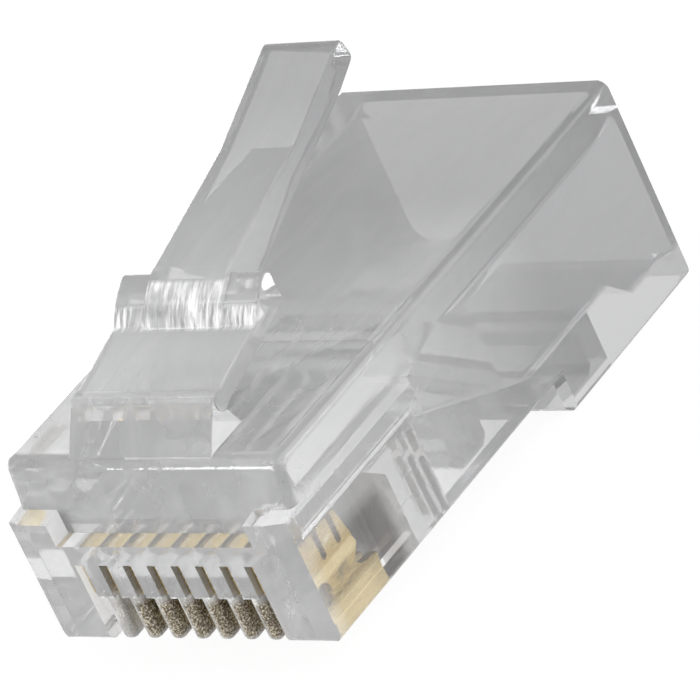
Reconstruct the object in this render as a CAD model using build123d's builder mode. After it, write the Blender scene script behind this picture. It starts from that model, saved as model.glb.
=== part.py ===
"""Eight-way modular plug: clear moulded housing, sprung latch and eight blade contacts.

Units are millimetres. X runs across the plug, +Y from the nose to the cable end, +Z from the
contact side to the latch side. The origin is the middle of the plug at the level of its foot.
"""

import os

from build123d import *

# Body, with distances taken back from the nose and levels up from the underside of the nose
body_width = 11.68
body_length = 22.0
body_height = 6.56
foot_start = 14.05
foot_drop = 1.37
side_wall = 1.0
top_wall = 1.61
long_edge_radius = 0.38
foot_corner = 0.3

# Nose
post_level = 4.70
ledge_rise = 0.08
ledge_depth = 0.75
nose_lean = 0.25
nose_top_radius = 0.5
bridge_level = 3.85
lead_in_width = 0.81
lead_in_depth = 0.15
nose_bottom_radius = 0.35
nose_corner_radius = 0.35

# Contact bank
contact_count = 8
contact_pitch = 1.02
contact_thickness = 0.30
contact_side_clearance = 0.025
bank_margin = 0.58
slot_level = 3.10
slot_length = 5.95
slot_back_level = 2.30
slot_bevel = 0.97

# Contact blade, stamped with three tines above a neck and a mating foot
blade_front = 0.25
blade_nose_low = 1.80
blade_top = 3.00
blade_back_top = 3.19
blade_back_low = 3.55
blade_back_level = 1.46
neck_back = 3.07
neck_level = 0.99
heel_start = 3.32
heel_start_level = 0.71
heel_back = 4.14
heel_level = 0.59
foot_blade_back = 4.06
blade_reach = -0.45
toe_front = 1.41
toe_bevel = 0.16
toe_rise = 0.31
throat_front = 1.06
throat_low = 0.67
throat_high = 1.34
throat_depth = 0.61
tine_slot_width = 0.25
tine_slot_level = 1.92
tine_slots = (1.98, 2.86)
tine_bevel = 0.07
coin_low = 1.34
coin_high = 1.76
coin_depth = 0.05
blade_corner = 0.12

# Fingers between the slots, below the bridge
finger_height = 1.80
finger_setback = 0.10
finger_depth = 0.90
finger_radius = 0.26
finger_width = 0.58
finger_tip_radius = 0.22

# Wire channels
wire_bore = 0.98
wire_level = 3.53
ridge_drop = 0.08
channel_start = 1.35
channel_end = 8.0
channel_side = 0.10

# Cable cavity
funnel_start = 8.50
funnel_end = 12.0
funnel_ceiling = 4.30
ceiling_break = 10.6
ramp_end = 13.5
cavity_floor = 0.60
cavity_corner = 0.35
entry_floor = -0.37
entry_length = 2.4
entry_slope = 1.0
flare_length = 0.9
flare_width = 0.30

# Strain reliefs, moulded into the underside on thin webs
relief_side_gap = 0.15
jacket_window_start = 13.4
jacket_window_end = 17.3
jacket_window_width = 8.60
jacket_bar_end = 16.6
jacket_bar_crest = 0.70
wire_window_start = 7.9
wire_window_end = 12.0
wire_window_width = 7.80
wire_bar_start = 9.0
wire_bar_end = 10.93
web_thickness = 0.35
bar_corner = 0.30

# Latch, with rises taken up from the top of the body
latch_width = 6.02
lever_width = 3.24
hinge_distance = 2.68
hinge_rise = 1.10
knuckle_radius = 0.34
hinge_clearance = 0.03
root_start = 1.15
crease_distance = 2.36
crease_rise = 1.44
root_back = 3.05
tab_start_rise = 1.40
step_distance = 5.42
step_rise = 2.05
step_swell_distance = 6.05
step_swell_rise = 2.72
shoulder_crest_distance = 6.80
shoulder_crest_rise = 3.14
shoulder_distance = 7.05
shoulder_low_rise = 1.84
shoulder_high_rise = 2.97
shoulder_top_radius = 0.12
shoulder_low_radius = 0.30
lever_foot_distance = 5.30
lever_swell_distance = 5.92
lever_swell_rise = 2.78
lever_top_distance = 6.87
lever_top_rise = 3.39
bend_distance = 11.8
bend_rise = 4.54
tip_distance = 15.80
tip_rise = 6.14
tip_back = 16.03
tip_low_rise = 5.22
lever_under_distance = 14.69
lever_under_rise = 4.59
lever_root_distance = 6.60
lever_root_rise = 1.77
tip_radius = 0.25
tab_edge_radius = 0.08
lever_edge_radius = 0.12

half_width = body_width / 2
slot_width = contact_thickness + 2 * contact_side_clearance
bank_half = (contact_count - 1) / 2 * contact_pitch
bridge_half = bank_half + bank_margin
channel_half = bank_half + wire_bore / 2 + channel_side
cavity_half = half_width - side_wall
cavity_ceiling = body_height - top_wall
nose_top_start = ledge_depth + nose_lean
entry_start = body_length - entry_length
groove_level = wire_level - wire_bore / 2
channel_ceiling = wire_level + wire_bore / 2
ridge_level = wire_level - ridge_drop
ramp_slope = (groove_level - cavity_floor) / (ramp_end - channel_end)
tab_slope = (step_rise - tab_start_rise) / (step_distance - hinge_distance)
lever_foot_rise = step_rise - (step_distance - lever_foot_distance) * tab_slope


def along(distance):
    """Y of a distance back from the nose."""
    return distance - body_length / 2


def level(rise):
    """Z of a level above the underside of the nose."""
    return rise + foot_drop


def over_top(rise):
    """Level of a rise above the top of the body."""
    return body_height + rise


def side_points(*points):
    """Points of a side profile, given as distance and level."""
    return [(along(distance), level(rise)) for distance, rise in points]


def cross_plane(distance):
    """Plane across the plug, facing the nose."""
    return Plane.XZ.offset(-along(distance))


def ramp_level(distance):
    """Level of the floor that leads the wires up into their channels."""
    return cavity_floor + (ramp_end - distance) * ramp_slope


# Hollow for the cable and its eight wires
with BuildPart() as cavity:
    with BuildSketch(Plane.YZ):
        with BuildLine():
            Polyline(
                *side_points(
                    (funnel_start, funnel_ceiling),
                    (ceiling_break, cavity_ceiling),
                    (body_length, cavity_ceiling),
                    (body_length, entry_floor),
                    (entry_start, entry_floor),
                    (entry_start - entry_slope, cavity_floor),
                    (ramp_end, cavity_floor),
                    (channel_end, ramp_level(channel_end)),
                    (channel_end, channel_ceiling),
                    (funnel_start, channel_ceiling),
                ),
                close=True,
            )
        make_face()
    extrude(amount=half_width, both=True)

    # Plan of the hollow, narrowing to the bank of channels
    with BuildSketch(Plane.XY.offset(level(entry_floor))):
        with BuildLine():
            Polyline(
                (-channel_half, along(channel_end)),
                (channel_half, along(channel_end)),
                (channel_half, along(funnel_start)),
                (cavity_half, along(funnel_end)),
                (cavity_half, along(body_length)),
                (-cavity_half, along(body_length)),
                (-cavity_half, along(funnel_end)),
                (-channel_half, along(funnel_start)),
                close=True,
            )
        make_face()
    extrude(amount=body_height, mode=Mode.INTERSECT)

    long_edges = cavity.edges().filter_by(Axis.Y).filter_by(lambda edge: edge.length > entry_slope)
    fillet(long_edges, radius=cavity_corner)

    # Flared mouth that leads the cable in
    mouth_height = cavity_ceiling - entry_floor
    mouth_middle = level((cavity_ceiling + entry_floor) / 2)
    with BuildSketch(cross_plane(body_length - flare_length)):
        with Locations((0, mouth_middle)):
            RectangleRounded(2 * cavity_half, mouth_height, cavity_corner)
    with BuildSketch(cross_plane(body_length)):
        with Locations((0, mouth_middle)):
            RectangleRounded(
                2 * (cavity_half + flare_width),
                mouth_height + 2 * flare_width,
                cavity_corner + flare_width,
            )
    loft()

    # Slot with a grooved floor that holds the wires over their contacts
    with BuildSketch(cross_plane(funnel_start)):
        with Locations((0, level((ridge_level + channel_ceiling) / 2))):
            Rectangle(2 * channel_half, channel_ceiling - ridge_level)
        with Locations((0, level(wire_level))):
            with GridLocations(contact_pitch, 0, contact_count, 1):
                Circle(wire_bore / 2)
    extrude(amount=funnel_start - channel_start)


# Latch root with the seat of its hinge, sunk into the top of the nose
with BuildPart() as latch_root:
    with BuildSketch(Plane.YZ):
        with BuildLine():
            Polyline(
                *side_points(
                    (root_start, over_top(-top_wall / 2)),
                    (root_start, over_top(0)),
                    (crease_distance, over_top(crease_rise)),
                    (hinge_distance, over_top(crease_rise)),
                    (hinge_distance, over_top(hinge_rise - knuckle_radius)),
                    (root_back, over_top(0)),
                    (root_back, over_top(-top_wall / 2)),
                ),
                close=True,
            )
        make_face()
        with Locations((along(hinge_distance), level(over_top(hinge_rise)))):
            Circle(knuckle_radius + hinge_clearance, mode=Mode.SUBTRACT)
    extrude(amount=latch_width / 2, both=True)
    root_ramp = latch_root.faces().filter_by(Axis.X).edges().filter_by(GeomType.LINE).filter_by(
        lambda edge: edge.center().Y < along(crease_distance) and edge.center().Z > level(over_top(0))
    )
    fillet(root_ramp, radius=tab_edge_radius)


# Fingers between the contacts, with rounded tips
with BuildPart() as finger_row:
    with BuildSketch(Plane.XY.offset(level(0))):
        with Locations((0, along(finger_setback + finger_depth / 2 + finger_radius))):
            with GridLocations(contact_pitch, 0, contact_count - 1, 1):
                RectangleRounded(finger_width, finger_depth + 2 * finger_radius, finger_radius)
    extrude(amount=finger_height)
    fillet(finger_row.edges().group_by(Axis.Z)[0], radius=finger_tip_radius)


# Clear housing
with BuildPart() as housing:
    with BuildSketch(Plane.YZ):
        with BuildLine():
            Polyline(
                *side_points(
                    (0, 0),
                    (foot_start, 0),
                    (foot_start, -foot_drop),
                    (body_length, -foot_drop),
                    (body_length, body_height),
                    (nose_top_start, body_height),
                    (ledge_depth, post_level + ledge_rise),
                    (0, post_level),
                ),
                close=True,
            )
        make_face()
    extrude(amount=half_width, both=True)

    nose_top_edge = housing.edges().filter_by(Axis.X).group_by(Axis.Z)[-1].sort_by(Axis.Y)[0]
    fillet(nose_top_edge, radius=nose_top_radius)
    top_outline = housing.faces().filter_by(Axis.X).edges().filter_by(
        lambda edge: edge.center().Z > level(post_level + ledge_rise)
    )
    fillet(top_outline, radius=long_edge_radius)
    foot_long_edges, nose_long_edges = housing.edges().filter_by(Axis.Y).group_by(Axis.Z)[:2]
    fillet(foot_long_edges, radius=long_edge_radius)
    fillet(nose_long_edges, radius=nose_corner_radius)
    foot_edge = housing.edges().filter_by(Axis.X).group_by(Axis.Z)[0].sort_by(Axis.Y)[0]
    chamfer(foot_edge, length=foot_corner)

    # Bridge set below the corner posts
    with BuildSketch(Plane.XY.offset(level(bridge_level))):
        with Locations((0, along(ledge_depth / 2))):
            Rectangle(2 * bridge_half, ledge_depth)
    extrude(amount=body_height - bridge_level, mode=Mode.SUBTRACT)

    # Shallow lead-in on the outer corners of the posts
    with BuildSketch(Plane.XY.offset(level(0))):
        for side in (-1, 1):
            with BuildLine():
                Polyline(
                    (side * (half_width - lead_in_width), along(0)),
                    (side * half_width, along(0)),
                    (side * half_width, along(lead_in_depth)),
                    close=True,
                )
            make_face()
    extrude(amount=body_height, mode=Mode.SUBTRACT)

    # Fingers that part the contacts
    with BuildSketch(Plane.XY.offset(level(0))):
        with Locations((0, along(finger_depth / 2))):
            Rectangle(2 * bank_half, finger_depth)
    extrude(amount=finger_height, mode=Mode.SUBTRACT)
    add(finger_row.part)

    # Rounded lower edge of the posts and fingers
    with BuildSketch(Plane.YZ):
        with Locations((along(nose_bottom_radius / 2), level(nose_bottom_radius / 2))):
            Rectangle(nose_bottom_radius, nose_bottom_radius)
        with Locations((along(nose_bottom_radius), level(nose_bottom_radius))):
            Circle(nose_bottom_radius, mode=Mode.SUBTRACT)
    extrude(amount=half_width, both=True, mode=Mode.SUBTRACT)

    # Contact slots, open at the nose and below
    for number in range(contact_count):
        contact_x = (number - (contact_count - 1) / 2) * contact_pitch
        with BuildSketch(Plane.YZ.offset(contact_x)):
            with BuildLine():
                Polyline(
                    *side_points(
                        (0, 0),
                        (slot_length, 0),
                        (slot_length, slot_back_level),
                        (slot_length - slot_bevel, slot_level),
                        (0, slot_level),
                    ),
                    close=True,
                )
            make_face()
        extrude(amount=slot_width / 2, both=True, mode=Mode.SUBTRACT)

    add(cavity.part, mode=Mode.SUBTRACT)

    # Windows in the underside
    with BuildSketch(Plane.XY.offset(level(-foot_drop))):
        with Locations((0, along((jacket_window_start + jacket_window_end) / 2))):
            Rectangle(jacket_window_width, jacket_window_end - jacket_window_start)
    extrude(amount=foot_drop + cavity_floor, mode=Mode.SUBTRACT)
    with BuildSketch(Plane.XY.offset(level(0))):
        with Locations((0, along((wire_window_start + wire_window_end) / 2))):
            Rectangle(wire_window_width, wire_window_end - wire_window_start)
    extrude(amount=ramp_level(wire_window_start), mode=Mode.SUBTRACT)

    # Jacket relief bar on its web
    with BuildSketch(Plane.YZ):
        with BuildLine():
            Polyline(
                *side_points(
                    (jacket_window_start - bar_corner, cavity_floor),
                    (foot_start, cavity_floor),
                    (jacket_bar_end - 2 * bar_corner, jacket_bar_crest),
                    (jacket_bar_end, jacket_bar_crest - 2 * bar_corner),
                    (jacket_bar_end, bar_corner - foot_drop),
                    (jacket_bar_end - bar_corner, -foot_drop),
                    (foot_start + bar_corner, -foot_drop),
                    (foot_start, bar_corner - foot_drop),
                    (foot_start, cavity_floor - web_thickness),
                    (jacket_window_start - bar_corner, cavity_floor - web_thickness),
                ),
                close=True,
            )
        make_face()
    extrude(amount=jacket_window_width / 2 - relief_side_gap, both=True)

    # Wire relief bar on its web
    with BuildSketch(Plane.YZ):
        with BuildLine():
            Polyline(
                *side_points(
                    (wire_window_start - bar_corner, ramp_level(channel_end)),
                    (channel_end, ramp_level(channel_end)),
                    (wire_bar_end, ramp_level(wire_bar_end)),
                    (wire_bar_end, bar_corner),
                    (wire_bar_end - bar_corner, 0),
                    (wire_bar_start + bar_corner, 0),
                    (wire_bar_start, bar_corner),
                    (wire_bar_start, ramp_level(wire_bar_start) - web_thickness - bar_corner),
                    (wire_bar_start - bar_corner, ramp_level(wire_bar_start) - web_thickness),
                    (wire_window_start - bar_corner, ramp_level(channel_end) - web_thickness),
                ),
                close=True,
            )
        make_face()
    extrude(amount=wire_window_width / 2 - relief_side_gap, both=True)

    add(latch_root.part)

housing.part.label = "housing"


# Lever of the latch, from its foot on the step to its tip
with BuildPart() as lever:
    with BuildSketch(Plane.YZ):
        with BuildLine():
            Polyline(
                *side_points(
                    (lever_top_distance, over_top(lever_top_rise)),
                    (bend_distance, over_top(bend_rise)),
                    (tip_distance, over_top(tip_rise)),
                    (tip_back, over_top(tip_low_rise)),
                    (lever_under_distance, over_top(lever_under_rise)),
                    (lever_root_distance, over_top(lever_root_rise)),
                    (lever_foot_distance, over_top(lever_foot_rise)),
                )
            )
            ThreePointArc(
                *side_points(
                    (lever_foot_distance, over_top(lever_foot_rise)),
                    (lever_swell_distance, over_top(lever_swell_rise)),
                    (lever_top_distance, over_top(lever_top_rise)),
                )
            )
        make_face()
    extrude(amount=lever_width / 2, both=True)
    tip_edges = lever.edges().filter_by(Axis.X).sort_by(Axis.Y)[-2:]
    fillet(tip_edges, radius=tip_radius)
    lever_outline = lever.faces().filter_by(Axis.X).edges().filter_by(
        lambda edge: edge.center().Y > along(step_swell_distance)
    )
    fillet(lever_outline, radius=lever_edge_radius)


# Latch, a wide tab with two locking shoulders that carries the lever
with BuildPart() as latch:
    with BuildSketch(Plane.YZ):
        with BuildLine():
            Polyline(
                *side_points(
                    (step_distance, over_top(step_rise)),
                    (hinge_distance, over_top(tab_start_rise)),
                    (hinge_distance, over_top(hinge_rise - knuckle_radius)),
                    (shoulder_distance, over_top(shoulder_low_rise)),
                    (shoulder_distance, over_top(shoulder_high_rise)),
                    (shoulder_crest_distance, over_top(shoulder_crest_rise)),
                )
            )
            ThreePointArc(
                *side_points(
                    (shoulder_crest_distance, over_top(shoulder_crest_rise)),
                    (step_swell_distance, over_top(step_swell_rise)),
                    (step_distance, over_top(step_rise)),
                )
            )
        make_face()
        with Locations((along(hinge_distance), level(over_top(hinge_rise)))):
            Circle(knuckle_radius)
    extrude(amount=latch_width / 2, both=True)
    shoulder_edges = latch.edges().filter_by(Axis.X).sort_by(Axis.Y)[-3:].sort_by(Axis.Z)
    fillet(shoulder_edges[0], radius=shoulder_low_radius)
    fillet(shoulder_edges[1:], radius=shoulder_top_radius)
    tab_outline = latch.faces().filter_by(Axis.X).edges().filter_by(
        lambda edge: edge.center().Y > along(hinge_distance + knuckle_radius)
    )
    fillet(tab_outline, radius=tab_edge_radius)
    add(lever.part)

latch.part.label = "latch"


# Blade contacts, alike along the bank
contacts = []
for number in range(contact_count):
    contact_x = (number - (contact_count - 1) / 2) * contact_pitch
    with BuildPart() as contact:
        with BuildSketch(Plane.YZ.offset(contact_x)):
            with BuildLine():
                Polyline(
                    *side_points(
                        (throat_front, throat_high),
                        (blade_front, blade_nose_low),
                        (blade_front, blade_top),
                        (blade_back_top, blade_top),
                        (blade_back_low, blade_back_level),
                        (neck_back, neck_level),
                        (heel_start, heel_start_level),
                        (heel_back, heel_level),
                        (foot_blade_back, blade_reach),
                        (toe_front, blade_reach),
                        (throat_front + toe_bevel, blade_reach + toe_rise),
                        (throat_front, throat_low),
                    )
                )
                ThreePointArc(
                    *side_points(
                        (throat_front, throat_low),
                        (throat_front + throat_depth, (throat_low + throat_high) / 2),
                        (throat_front, throat_high),
                    )
                )
            make_face()
            # Two round-ended slots part the tines that pierce the wire
            for slot_distance in tine_slots:
                with Locations((along(slot_distance), level(blade_top))):
                    SlotOverall(
                        2 * (blade_top - tine_slot_level),
                        tine_slot_width,
                        rotation=90,
                        mode=Mode.SUBTRACT,
                    )
        extrude(amount=contact_thickness / 2, both=True)
        chamfer(contact.edges().filter_by(Axis.X).group_by(Axis.Z)[-1], length=tine_bevel)
        fillet(contact.edges().filter_by(Axis.X).group_by(Axis.Z)[0], radius=blade_corner)

        # Coined bevel along both faces
        with BuildSketch(cross_plane(heel_back)):
            for side in (-1, 1):
                face_x = contact_x + side * contact_thickness / 2
                with BuildLine():
                    Polyline(
                        (face_x, level(coin_low)),
                        (face_x - side * coin_depth, level(coin_high)),
                        (face_x, level(coin_high)),
                        close=True,
                    )
                make_face()
        extrude(amount=heel_back - blade_front, mode=Mode.SUBTRACT)
    contact.part.label = f"contact_{number + 1}"
    contacts.append(contact)


os.makedirs("parts", exist_ok=True)
export_step(housing.part, "parts/housing.step")
export_step(latch.part, "parts/latch.step")
for contact in contacts:
    export_step(contact.part, f"parts/{contact.part.label}.step")
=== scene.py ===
"""Finishes for a clear eight-way modular plug: moulded plastic, frosted faces and gold blades.

Laid out as an add-on and run as a script. Lengths are in metres and angles in radians, in the
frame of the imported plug: X across, +Y from the nose to the cable end, +Z to the latch side.
"""

import math

import bpy
from mathutils import Matrix, Vector


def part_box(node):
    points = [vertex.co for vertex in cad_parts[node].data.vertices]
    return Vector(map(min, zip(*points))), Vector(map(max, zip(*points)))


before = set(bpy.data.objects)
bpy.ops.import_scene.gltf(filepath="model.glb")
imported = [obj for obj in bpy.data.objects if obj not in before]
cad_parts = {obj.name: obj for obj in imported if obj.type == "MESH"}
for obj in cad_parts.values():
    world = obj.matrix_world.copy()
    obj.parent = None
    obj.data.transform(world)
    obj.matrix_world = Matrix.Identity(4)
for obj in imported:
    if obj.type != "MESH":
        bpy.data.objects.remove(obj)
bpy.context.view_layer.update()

bl_info = {
    "name": "Clear Modular Plug",
    "version": (1, 0, 0),
    "blender": (4, 5, 0),
    "location": "3D View > Sidebar > Plug",
    "description": "Finishes a clear modular plug and its gold blade contacts",
    "category": "Object",
}

MILLIMETRE = 0.001
CONTACT_NAMES = sorted(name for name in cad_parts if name.startswith("contact_"))
HOUSING_LOW, HOUSING_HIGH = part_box("housing")
LATCH_LOW, LATCH_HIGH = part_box("latch")
BANK_LOW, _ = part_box(CONTACT_NAMES[0])
_, BANK_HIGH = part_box(CONTACT_NAMES[-1])

# How far the box of a finish reaches past the outside of a piece
MARGIN = 1.0 * MILLIMETRE

# Underside of the nose, and the length and the roof of the slots
NOSE_LEVEL = 1.37 * MILLIMETRE
SLOT_LENGTH = 5.95 * MILLIMETRE
SLOT_LEVEL = NOSE_LEVEL + 3.15 * MILLIMETRE

# The shade in the slots: its gap behind the blades, and its width as a share of theirs
SHADE_GAP = 0.1 * MILLIMETRE
SHADE_SPREAD = 1.1

# How far behind each end of the blades the clear wall beside them starts and stops
WINDOW_SHIFT = 0.3 * MILLIMETRE

# Frost and painted specks on the fingers, as depths behind the nose and as heights
FROST_DEPTH = 0.6 * MILLIMETRE
FROST_HEIGHT = 3.2 * MILLIMETRE
SPECK_DEPTH = 0.85 * MILLIMETRE
SPECK_LOW = NOSE_LEVEL + 0.05 * MILLIMETRE
SPECK_HIGH = NOSE_LEVEL + 1.62 * MILLIMETRE

# Places along the specks' noise and their colours, from dark brown to pale, painted for the gold blades
# behind
PAINTED_SPECK_STOPS = (
    (0.40, (0.05, 0.035, 0.02)),
    (0.48, (0.16, 0.12, 0.065)),
    (0.56, (0.32, 0.27, 0.18)),
    (0.66, (0.75, 0.69, 0.58)),
)

# The specks' share where they are thin, and the places across the plug where they are thin and full
SPECK_THIN = 0.15
SPECK_ACROSS = (0.95 * BANK_LOW.x, 0.55 * BANK_LOW.x)

# X of a face's normal, where the specks start and where they are full
SPECK_FACING = (-0.75, 0.1)

# The step across the latch, and the foot of the lever behind it
STEP_FRONT = -5.8 * MILLIMETRE
STEP_BACK = -5.0 * MILLIMETRE
STEP_LOW = 9.95 * MILLIMETRE
STEP_HIGH = 10.46 * MILLIMETRE
LEVER_HALF = 1.62 * MILLIMETRE
LEVER_FOOT_BACK = -4.4 * MILLIMETRE
LEVER_FOOT_HIGH = 11.06 * MILLIMETRE

# Places along the plug between which the plastic turns from its pale nose grey to its painted grey
HOUSING_FADE = (-3.5 * MILLIMETRE, 4.5 * MILLIMETRE)
LATCH_FADE = (-11.0 * MILLIMETRE, 3.0 * MILLIMETRE)

# Half the width over which the edge of a finish fades out
CRISP = 0.04 * MILLIMETRE
SPECK_SOFT = 0.22 * MILLIMETRE
WINDOW_SOFT = 0.3 * MILLIMETRE

# Depth of the flow marks, of the frost's streaks and of the drawn lines
FLOW_DEPTH = 0.05 * MILLIMETRE
STREAK_DEPTH = 0.06 * MILLIMETRE
DRAWN_DEPTH = 0.02 * MILLIMETRE

# Factor on the clearness in thin haze, in thick haze, in frost and in the painted specks
HAZE_THIN = 1.06
HAZE_THICK = 0.94
FROST_CLEARNESS = 0.1
SPECK_CLEARNESS = 0.15

# How far scuffs and drawn lines move the roughness from its setting
SCUFF_ROUGHER = 0.05
DRAWN_SMOOTHER = 0.08
DRAWN_ROUGHER = 0.1

# Share of the frost's roughness in its smoothest streaks, and of its white in its thin patches
FROST_SMOOTHEST = 0.4
FROST_THIN = 0.25

# Levels on a blade in pairs, where the painted highlight starts and where it is full, and its share
MATING_EDGE = (NOSE_LEVEL + 0.65 * MILLIMETRE, NOSE_LEVEL + 0.4 * MILLIMETRE)
COIN_LOW = (NOSE_LEVEL + 1.25 * MILLIMETRE, NOSE_LEVEL + 1.4 * MILLIMETRE)
COIN_HIGH = (NOSE_LEVEL + 1.82 * MILLIMETRE, NOSE_LEVEL + 1.72 * MILLIMETRE)
PAINTED_HIGHLIGHT_SHARE = 0.75

# The floor lies just inside the plug's lowest face, so that the two share no plane
FLOOR_SIZE = 1.2
FLOOR_LEVEL = 0.01 * MILLIMETRE

# Strength of the floor's white, and how far its grey strays in specks
FLOOR_WHITE = 1.05
FLOOR_SPECK = 0.01

# Name, place and size of each lamp, in the order of the powers in the settings
LAMPS = (
    ("front_lamp", (-0.33, -0.6, 0.12), 0.3),
    ("back_lamp", (0.52, 0.12, 0.38), 0.8),
    ("side_lamp", (-0.6, 0.4, 0.1), 0.25),
)

# The one lamp that shows through the plastic
SEEN_LAMP = "front_lamp"

# Width of the sensor in millimetres, and the nearest distance that the camera sees
SENSOR_WIDTH = 36
CLIP_START = 0.01

LIGHT_BOUNCES = 20
GLOSSY_BOUNCES = 14
WHITE = (1, 1, 1, 1)


class PlugPlasticSettings(bpy.types.PropertyGroup):
    """Clear plastic of the housing and the latch."""

    # Painted grey: the tint stands in for the grey surroundings seen through the clear plastic, paler
    # at the nose
    painted_grey: bpy.props.FloatVectorProperty(
        name="Tint", description="Colour that the surfaces behind the nose let through",
        subtype="COLOR", size=3, min=0, max=1, default=(0.49, 0.493, 0.498),
    )
    nose_painted_grey: bpy.props.FloatVectorProperty(
        name="Nose tint", description="Colour that the surfaces of the nose let through",
        subtype="COLOR", size=3, min=0, max=1, default=(0.92, 0.922, 0.926),
    )
    # Painted shade and a reflection of the bronze edges, on the slot walls behind the blades
    painted_slot_shade: bpy.props.FloatVectorProperty(
        name="Slot tint", description="Colour that the slot walls behind the blades let through",
        subtype="COLOR", size=3, min=0, max=1, default=(0.46, 0.43, 0.39),
    )
    ior: bpy.props.FloatProperty(
        name="Refractive index", description="Refractive index of the plastic", default=1.585, min=1,
    )
    polish: bpy.props.FloatProperty(
        name="Polish", description="Roughness of the polished faces", default=0.02, min=0, max=1,
        subtype="FACTOR",
    )
    frost: bpy.props.FloatProperty(
        name="Frost", description="Roughness of the frosted faces", default=0.3, min=0, max=1,
        subtype="FACTOR",
    )
    clearness: bpy.props.FloatProperty(
        name="Clearness", description="Share of the light let through behind the nose",
        default=0.56, min=0, max=1, subtype="FACTOR",
    )
    nose_clearness: bpy.props.FloatProperty(
        name="Nose clearness", description="Share of the light let through at the nose",
        default=0.72, min=0, max=1, subtype="FACTOR",
    )
    window_clearness: bpy.props.FloatProperty(
        name="Window clearness", description="Share of the light let through beside the blades",
        default=0.96, min=0, max=1, subtype="FACTOR",
    )


class PlugContactSettings(bpy.types.PropertyGroup):
    """Gold plating of the blades."""

    gold: bpy.props.FloatVectorProperty(
        name="Gold", description="Colour of the plating",
        subtype="COLOR", size=3, min=0, max=1, default=(0.64, 0.47, 0.17),
    )
    bronze: bpy.props.FloatVectorProperty(
        name="Bronze", description="Colour where the plating is thin",
        subtype="COLOR", size=3, min=0, max=1, default=(0.30, 0.21, 0.08),
    )
    pale_gold: bpy.props.FloatVectorProperty(
        name="Pale gold", description="Colour where the plating is thick",
        subtype="COLOR", size=3, min=0, max=1, default=(1.0, 0.90, 0.62),
    )
    # Painted highlight on the coined band and the mating edge
    painted_highlight_gold: bpy.props.FloatVectorProperty(
        name="Bright gold", description="Colour of the coined band and the mating edge",
        subtype="COLOR", size=3, min=0, max=1, default=(1.0, 0.82, 0.44),
    )
    roughness: bpy.props.FloatProperty(
        name="Roughness", description="Roughness of the plating", default=0.28, min=0, max=1,
        subtype="FACTOR",
    )


class PlugStageSettings(bpy.types.PropertyGroup):
    """Floor, room, lamps and camera."""

    floor_grey: bpy.props.FloatProperty(
        name="Floor", description="Pale grey of the floor", default=0.8, min=0, max=1,
        subtype="FACTOR",
    )
    floor_glow: bpy.props.FloatProperty(
        name="Backdrop glow", description="Share of the floor's white that shadows do not reach",
        default=0.9, min=0, max=1, subtype="FACTOR",
    )
    world_grey: bpy.props.FloatProperty(
        name="World", description="Grey of the room around the plug", default=0.62, min=0, max=1,
        subtype="FACTOR",
    )
    lamp_powers: bpy.props.FloatVectorProperty(
        name="Lamp powers", description="Powers of the front, back and side lamps",
        size=3, min=0, default=(2.5, 3.0, 1.2), unit="POWER",
    )
    azimuth: bpy.props.FloatProperty(
        name="Azimuth", description="Direction of the camera round the plug",
        default=math.radians(45.41), subtype="ANGLE",
    )
    elevation: bpy.props.FloatProperty(
        name="Elevation", description="Height of the camera above the plug",
        default=math.radians(26.43), subtype="ANGLE",
    )
    roll: bpy.props.FloatProperty(
        name="Roll", description="Lean of the camera", default=math.radians(25.33), subtype="ANGLE",
    )
    distance: bpy.props.FloatProperty(
        name="Distance", description="From the camera to the plug", default=0.2312, min=0.01,
        subtype="DISTANCE", unit="LENGTH", precision=4,
    )
    target: bpy.props.FloatVectorProperty(
        name="Target", description="Point that the camera looks at", size=3,
        default=(0.00032, 0.00039, 0.0047), subtype="TRANSLATION", unit="LENGTH",
    )
    lens: bpy.props.FloatProperty(
        name="Lens", description="Focal length on a 36 mm sensor", default=362.76,
        subtype="DISTANCE_CAMERA",
    )


def add_node(tree, kind, inputs=None, **settings):
    """A node with its settings, and values or links for its inputs."""
    node = tree.nodes.new(kind)
    for name, value in settings.items():
        setattr(node, name, value)
    for socket, value in (inputs or {}).items():
        if isinstance(value, bpy.types.NodeSocket):
            tree.links.new(value, node.inputs[socket])
        else:
            node.inputs[socket].default_value = value
    return node


def new_material(name):
    """An empty node material, with its tree and output."""
    material = bpy.data.materials.new(name)
    material.use_nodes = True
    material.node_tree.nodes.clear()
    output = add_node(material.node_tree, "ShaderNodeOutputMaterial")
    return material, material.node_tree, output


def coordinates(tree, kind="Object"):
    """X, Y and Z of the place on the object, or of another kind of coordinate."""
    vector = add_node(tree, "ShaderNodeTexCoord").outputs[kind]
    return add_node(tree, "ShaderNodeSeparateXYZ", {"Vector": vector}).outputs


def noise(tree, pace=(1, 1, 1), scale=1.0, detail=2.0, roughness=0.5, distortion=0.0):
    """Noise value over the object, drawn out along the axes with a low pace."""
    place = add_node(tree, "ShaderNodeTexCoord").outputs["Object"]
    place = add_node(tree, "ShaderNodeMapping", {"Vector": place, "Scale": pace}).outputs["Vector"]
    return add_node(
        tree, "ShaderNodeTexNoise",
        {"Vector": place, "Scale": scale, "Detail": detail, "Roughness": roughness,
         "Distortion": distortion},
    ).outputs["Fac"]


def ranged(tree, value, low, high, new_low=0.0, new_high=1.0):
    """A value carried from one range to another, held at its ends."""
    return add_node(
        tree, "ShaderNodeMapRange",
        {"Value": value, "From Min": low, "From Max": high, "To Min": new_low, "To Max": new_high},
        clamp=True,
    ).outputs["Result"]


def mixed(tree, factor, first, second):
    """Two values mixed by a factor."""
    return ranged(tree, factor, 0, 1, first, second)


def blended(tree, factor, first, second):
    """Two colours mixed by a factor."""
    node = add_node(tree, "ShaderNodeMix", {0: factor, 6: first, 7: second}, data_type="RGBA")
    return node.outputs[2]


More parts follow.
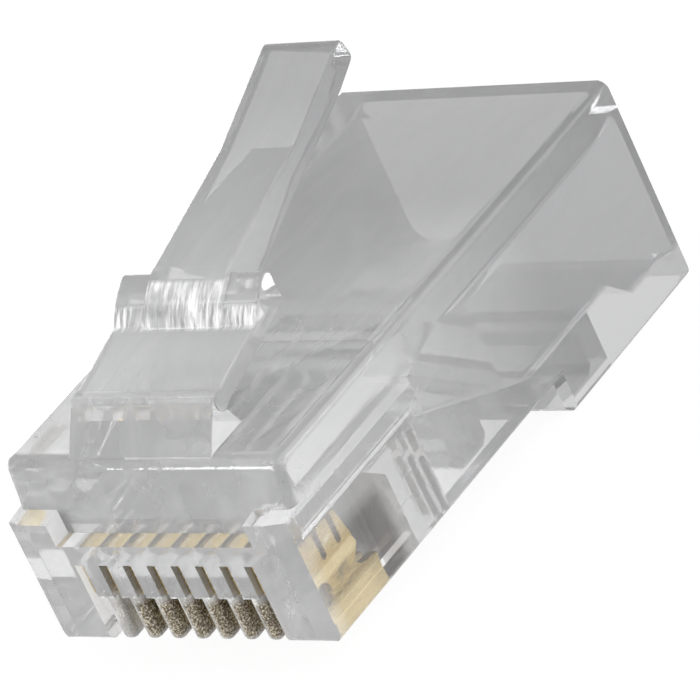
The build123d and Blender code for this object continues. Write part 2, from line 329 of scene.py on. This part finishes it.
def maths(tree, operation, first, second):
    """One arithmetic step."""
    return add_node(tree, "ShaderNodeMath", {0: first, 1: second}, operation=operation).outputs["Value"]


def product(tree, first, *others):
    """Some values multiplied."""
    result = first
    for other in others:
        result = maths(tree, "MULTIPLY", result, other)
    return result


def highest(tree, first, *others):
    """The highest of some values."""
    result = first
    for other in others:
        result = maths(tree, "MAXIMUM", result, other)
    return result


def inside(tree, box, soft):
    """One inside a box, given as its low and high corners, and zero outside its soft edge."""
    place = coordinates(tree)
    sides = []
    for axis, bottom, top in zip("XYZ", *box):
        for edge, inner in ((bottom - soft, bottom + soft), (top + soft, top - soft)):
            sides.append(ranged(tree, place[axis], edge, inner))
    return product(tree, *sides)


def opaque(colour):
    """A colour with the fourth value that sockets and ramps take."""
    return (*colour, 1)


def graded(tree, value, stops):
    """A colour picked along a ramp of stops."""
    node = add_node(tree, "ShaderNodeValToRGB", {"Fac": value})
    marks = node.color_ramp.elements
    for mark, (position, colour) in zip(marks, (stops[0], stops[-1])):
        mark.position = position
        mark.color = opaque(colour)
    for position, colour in stops[1:-1]:
        marks.new(position).color = opaque(colour)
    return node.outputs["Color"]


def bumped(tree, height, strength, depth, under=None):
    """A normal tilted by the slope of a height, laid over another normal where one is given."""
    node = add_node(tree, "ShaderNodeBump", {"Height": height, "Strength": strength, "Distance": depth})
    if under is not None:
        tree.links.new(under, node.inputs["Normal"])
    return node.outputs["Normal"]


class ClearPlastic:
    """A clear plastic, built up finish by finish before its shader is joined."""

    def __init__(self, name, settings, fade):
        """Polished plastic with flow marks, scuffs and haze, and a painted grey for the surroundings
        seen through it, palest ahead of its fade.
        """
        self.material, self.tree, self.output = new_material(name)
        self.settings = settings
        tree = self.tree
        flow = noise(tree, pace=(1, 0.15, 0.6), scale=900, detail=3, roughness=0.55, distortion=0.4)
        self.normal = bumped(tree, flow, strength=0.12, depth=FLOW_DEPTH)
        scuff = ranged(tree, noise(tree, scale=5200, detail=4, roughness=0.65), low=0.45, high=0.75)
        self.roughness = mixed(tree, scuff, settings.polish, settings.polish + SCUFF_ROUGHER)
        behind = ranged(tree, coordinates(tree)["Y"], *fade)
        # Painted grey for the surroundings seen through the plastic, paler at the nose
        self.colour = blended(tree, behind, opaque(settings.nose_painted_grey), opaque(settings.painted_grey))
        cloud = noise(tree, pace=(1, 0.35, 0.7), scale=420, detail=4, roughness=0.6, distortion=0.8)
        haze = mixed(tree, ranged(tree, cloud, low=0.3, high=0.7), HAZE_THIN, HAZE_THICK)
        clearness = mixed(tree, behind, settings.nose_clearness, settings.clearness)
        self.clearness = product(tree, clearness, haze)

    def add_window(self, box):
        """Clears the polished walls inside a box."""
        window = inside(self.tree, box, WINDOW_SOFT)
        self.clearness = mixed(self.tree, window, self.clearness, self.settings.window_clearness)

    def add_shade(self, box):
        """Paints shade and a reflection of the bronze edges on the slot walls inside a box."""
        shade = inside(self.tree, box, CRISP)
        self.colour = blended(self.tree, shade, self.colour, opaque(self.settings.painted_slot_shade))

    def add_frost(self, *boxes):
        """Roughens the faces inside some boxes, which scatter white in streaks."""
        tree = self.tree
        frost = highest(tree, *(inside(tree, box, CRISP) for box in boxes))
        streak = noise(tree, pace=(1, 0.12, 0.12), scale=6500, detail=3, roughness=0.6)
        grit = ranged(tree, streak, low=0.35, high=0.65)
        roughest = self.settings.frost
        rough = mixed(tree, grit, FROST_SMOOTHEST * roughest, roughest)
        self.roughness = mixed(tree, frost, self.roughness, rough)
        marks = product(tree, streak, frost)
        self.normal = bumped(tree, marks, strength=0.8, depth=STREAK_DEPTH, under=self.normal)
        patch = ranged(tree, noise(tree, scale=700), low=0.35, high=0.55, new_low=FROST_THIN)
        white = product(tree, ranged(tree, streak, low=0.4, high=0.6), patch, frost)
        self.colour = blended(tree, white, self.colour, WHITE)
        self.clearness = product(tree, self.clearness, mixed(tree, white, 1, FROST_CLEARNESS))

    def add_painted_specks(self, box):
        """Paints the gold blades behind as brown and pale specks inside a box, as rough faces scatter
        them, thinner towards -X.
        """
        tree = self.tree
        facing = ranged(tree, coordinates(tree, "Normal")["X"], *SPECK_FACING)
        across = ranged(tree, coordinates(tree)["X"], *SPECK_ACROSS, SPECK_THIN, 1)
        painted_specks = product(tree, inside(tree, box, SPECK_SOFT), facing, across)
        speck_colour = graded(tree, noise(tree, scale=15000, roughness=0.7), PAINTED_SPECK_STOPS)
        self.colour = blended(tree, painted_specks, self.colour, speck_colour)
        self.clearness = product(tree, self.clearness, mixed(tree, painted_specks, 1, SPECK_CLEARNESS))

    def joined(self):
        """The material, with its finishes joined in one shader."""
        shader = add_node(
            self.tree, "ShaderNodeBsdfPrincipled",
            {"Base Color": self.colour, "Roughness": self.roughness, "IOR": self.settings.ior,
             "Transmission Weight": self.clearness, "Normal": self.normal},
        )
        self.tree.links.new(shader.outputs["BSDF"], self.output.inputs["Surface"])
        return self.material


def gold_plating(settings):
    """Gold flash over stamped bronze, with drawn lines, thin worn spots, and a painted highlight on the
    coined band and the mating edge.
    """
    material, tree, output = new_material("gold_plating")
    cloud = noise(tree, pace=(1, 0.5, 1), scale=1500, detail=4, roughness=0.65, distortion=0.6)
    colour = graded(tree, cloud, (
        (0.30, settings.bronze),
        (0.44, settings.gold),
        (0.60, settings.gold),
        (0.72, settings.pale_gold),
    ))
    # A painted highlight, brightest on the coined band and the mating edge
    height = coordinates(tree)["Z"]
    band = product(tree, ranged(tree, height, *COIN_LOW), ranged(tree, height, *COIN_HIGH))
    painted_highlight = product(tree, highest(tree, band, ranged(tree, height, *MATING_EDGE)), PAINTED_HIGHLIGHT_SHARE)
    drawn = noise(tree, pace=(1, 0.1, 1), scale=9000, detail=3, roughness=0.6)
    lines = ranged(tree, drawn, low=0.3, high=0.7)
    smoothest = settings.roughness - DRAWN_SMOOTHER
    roughest = settings.roughness + DRAWN_ROUGHER
    shader = add_node(
        tree, "ShaderNodeBsdfPrincipled",
        {"Base Color": blended(tree, painted_highlight, colour, opaque(settings.painted_highlight_gold)),
         "Metallic": 1.0,
         "Roughness": mixed(tree, lines, smoothest, roughest),
         "Normal": bumped(tree, drawn, strength=0.35, depth=DRAWN_DEPTH)},
    )
    tree.links.new(shader.outputs["BSDF"], output.inputs["Surface"])
    return material


def seen_directly(tree):
    """One for a ray from the camera, or by way of metal or glass, and zero for light on the plug."""
    path = add_node(tree, "ShaderNodeLightPath").outputs
    seen = highest(tree, path["Is Camera Ray"], path["Is Glossy Ray"], path["Is Transmission Ray"])
    before_diffuse = maths(tree, "LESS_THAN", path["Diffuse Depth"], 0.5)
    return product(tree, seen, before_diffuse)


def white_ground(grey, glow):
    """Pale floor that the camera, metal and glass see as white, with the plug's shadow on it."""
    material, tree, output = new_material("white_floor")
    speck = ranged(tree, noise(tree, scale=300), low=0.3, high=0.7)
    tone = mixed(tree, speck, grey - FLOOR_SPECK, grey + FLOOR_SPECK)
    plain = add_node(tree, "ShaderNodeBsdfDiffuse", {"Color": tone}).outputs["BSDF"]
    white = {"Color": WHITE, "Strength": FLOOR_WHITE}
    lit = add_node(tree, "ShaderNodeEmission", white).outputs["Emission"]
    share = product(tree, seen_directly(tree), glow)
    surface = add_node(tree, "ShaderNodeMixShader", {0: share, 1: plain, 2: lit}).outputs["Shader"]
    tree.links.new(surface, output.inputs["Surface"])
    return material


def dress(node_name, material):
    """Puts one material on a node of the frame."""
    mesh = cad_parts[node_name].data
    mesh.materials.clear()
    mesh.materials.append(material)


class PLUG_OT_housing(bpy.types.Operator):
    """Finish the clear housing, with its frosted fingers and their painted specks"""

    bl_idname = "plug.housing"
    bl_label = "Housing"

    def execute(self, context):
        plastic = ClearPlastic("clear_housing", context.scene.plug_plastic, HOUSING_FADE)
        plastic.add_window((
            (HOUSING_LOW.x - MARGIN, BANK_LOW.y + WINDOW_SHIFT, HOUSING_LOW.z),
            (HOUSING_HIGH.x + MARGIN, BANK_HIGH.y + WINDOW_SHIFT, BANK_HIGH.z),
        ))
        # Painted shade in the slots behind the blades
        plastic.add_shade((
            (SHADE_SPREAD * BANK_LOW.x, BANK_HIGH.y + SHADE_GAP, HOUSING_LOW.z),
            (SHADE_SPREAD * BANK_HIGH.x, HOUSING_LOW.y + SLOT_LENGTH, SLOT_LEVEL),
        ))
        plastic.add_frost((
            (BANK_LOW.x, HOUSING_LOW.y - MARGIN, HOUSING_LOW.z),
            (BANK_HIGH.x, HOUSING_LOW.y + FROST_DEPTH, HOUSING_LOW.z + FROST_HEIGHT),
        ))
        # Painted specks: the gold blades behind, as the fingers' rough faces scatter them
        plastic.add_painted_specks((
            (BANK_LOW.x, HOUSING_LOW.y - MARGIN, SPECK_LOW),
            (BANK_HIGH.x, HOUSING_LOW.y + SPECK_DEPTH, SPECK_HIGH),
        ))
        dress("housing", plastic.joined())
        return {"FINISHED"}


class PLUG_OT_latch(bpy.types.Operator):
    """Finish the latch, with its frosted step and lever foot"""

    bl_idname = "plug.latch"
    bl_label = "Latch"

    def execute(self, context):
        plastic = ClearPlastic("clear_latch", context.scene.plug_plastic, LATCH_FADE)
        step = (
            (LATCH_LOW.x - MARGIN, STEP_FRONT, STEP_LOW),
            (LATCH_HIGH.x + MARGIN, STEP_BACK, STEP_HIGH),
        )
        lever_foot = (
            (-LEVER_HALF, STEP_FRONT, STEP_LOW),
            (LEVER_HALF, LEVER_FOOT_BACK, LEVER_FOOT_HIGH),
        )
        plastic.add_frost(step, lever_foot)
        dress("latch", plastic.joined())
        return {"FINISHED"}


class PLUG_OT_contacts(bpy.types.Operator):
    """Finish the eight blade contacts"""

    bl_idname = "plug.contacts"
    bl_label = "Contacts"

    def execute(self, context):
        gold = gold_plating(context.scene.plug_contacts)
        for name in CONTACT_NAMES:
            dress(name, gold)
        return {"FINISHED"}


class PLUG_OT_stage(bpy.types.Operator):
    """Set out the floor, the room, the lamps and the camera"""

    bl_idname = "plug.stage"
    bl_label = "Stage"

    def execute(self, context):
        settings = context.scene.plug_stage
        self.make_floor(context, settings)
        self.make_world(context, settings)
        self.make_lamps(context, settings)
        self.make_camera(context, settings)
        self.set_view(context)
        return {"FINISHED"}

    def make_floor(self, context, settings):
        """A wide floor under the resting plug."""
        bpy.ops.mesh.primitive_plane_add(size=FLOOR_SIZE, location=(0, 0, FLOOR_LEVEL))
        floor = context.object
        floor.name = "floor"
        floor.data.materials.append(white_ground(settings.floor_grey, settings.floor_glow))

    def make_world(self, context, settings):
        """An even grey room, which the camera, metal and glass see as white."""
        world = bpy.data.worlds.new("room")
        context.scene.world = world
        world.use_nodes = True
        tree = world.node_tree
        tree.nodes.clear()
        strength = mixed(tree, seen_directly(tree), settings.world_grey, 1)
        background = add_node(tree, "ShaderNodeBackground", {"Color": WHITE, "Strength": strength})
        add_node(tree, "ShaderNodeOutputWorld", {"Surface": background.outputs["Background"]})

    def make_lamps(self, context, settings):
        """Three soft lamps turned to the plug, of which only one shows through the plastic."""
        for (name, place, size), power in zip(LAMPS, settings.lamp_powers):
            light = bpy.data.lights.new(name, "AREA")
            light.size = size
            light.energy = power
            lamp = bpy.data.objects.new(name, light)
            context.scene.collection.objects.link(lamp)
            lamp.location = place
            lamp.rotation_euler = (-Vector(place)).to_track_quat("-Z", "Y").to_euler()
            lamp.visible_transmission = name == SEEN_LAMP

    def make_camera(self, context, settings):
        """A long lens at the photograph's angle."""
        forward = Vector((
            -math.sin(settings.azimuth) * math.cos(settings.elevation),
            math.cos(settings.azimuth) * math.cos(settings.elevation),
            -math.sin(settings.elevation),
        ))
        level_right = forward.cross(Vector((0, 0, 1))).normalized()
        level_up = level_right.cross(forward)
        up = level_up * math.cos(settings.roll) + level_right * math.sin(settings.roll)
        right = forward.cross(up)
        data = bpy.data.cameras.new("camera")
        data.sensor_width = SENSOR_WIDTH
        data.lens = settings.lens
        data.clip_start = CLIP_START
        camera = bpy.data.objects.new("camera", data)
        context.scene.collection.objects.link(camera)
        turn = Matrix((right, up, -forward)).transposed().to_4x4()
        eye = Vector(settings.target) - forward * settings.distance
        camera.matrix_world = Matrix.Translation(eye) @ turn
        context.scene.camera = camera

    def set_view(self, context):
        """Plain colours, and enough bounces for light to pass all the clear walls."""
        context.scene.view_settings.view_transform = "Standard"
        paths = context.scene.cycles
        paths.max_bounces = LIGHT_BOUNCES
        paths.glossy_bounces = GLOSSY_BOUNCES
        paths.transmission_bounces = LIGHT_BOUNCES


class PLUG_PT_panel(bpy.types.Panel):
    """Lists the steps and the settings of the plug"""

    bl_idname = "PLUG_PT_panel"
    bl_label = "Modular Plug"
    bl_space_type = "VIEW_3D"
    bl_region_type = "UI"
    bl_category = "Plug"

    def draw(self, context):
        for step in STEPS:
            self.layout.operator(step.bl_idname)
        scene = context.scene
        for group in (scene.plug_plastic, scene.plug_contacts, scene.plug_stage):
            for name in group.__annotations__:
                self.layout.prop(group, name)


STEPS = (PLUG_OT_housing, PLUG_OT_latch, PLUG_OT_contacts, PLUG_OT_stage)
SETTINGS = {
    "plug_plastic": PlugPlasticSettings,
    "plug_contacts": PlugContactSettings,
    "plug_stage": PlugStageSettings,
}


def register():
    """Registers the settings, the steps and the panel."""
    for name, group in SETTINGS.items():
        bpy.utils.register_class(group)
        setattr(bpy.types.Scene, name, bpy.props.PointerProperty(type=group))
    for step in STEPS:
        bpy.utils.register_class(step)
    bpy.utils.register_class(PLUG_PT_panel)


def unregister():
    """Removes them again."""
    bpy.utils.unregister_class(PLUG_PT_panel)
    for step in reversed(STEPS):
        bpy.utils.unregister_class(step)
    for name, group in SETTINGS.items():
        delattr(bpy.types.Scene, name)
        bpy.utils.unregister_class(group)


def main():
    """Runs the steps in order."""
    register()
    bpy.ops.plug.housing()
    bpy.ops.plug.latch()
    bpy.ops.plug.contacts()
    bpy.ops.plug.stage()


if __name__ == "__main__":
    main()
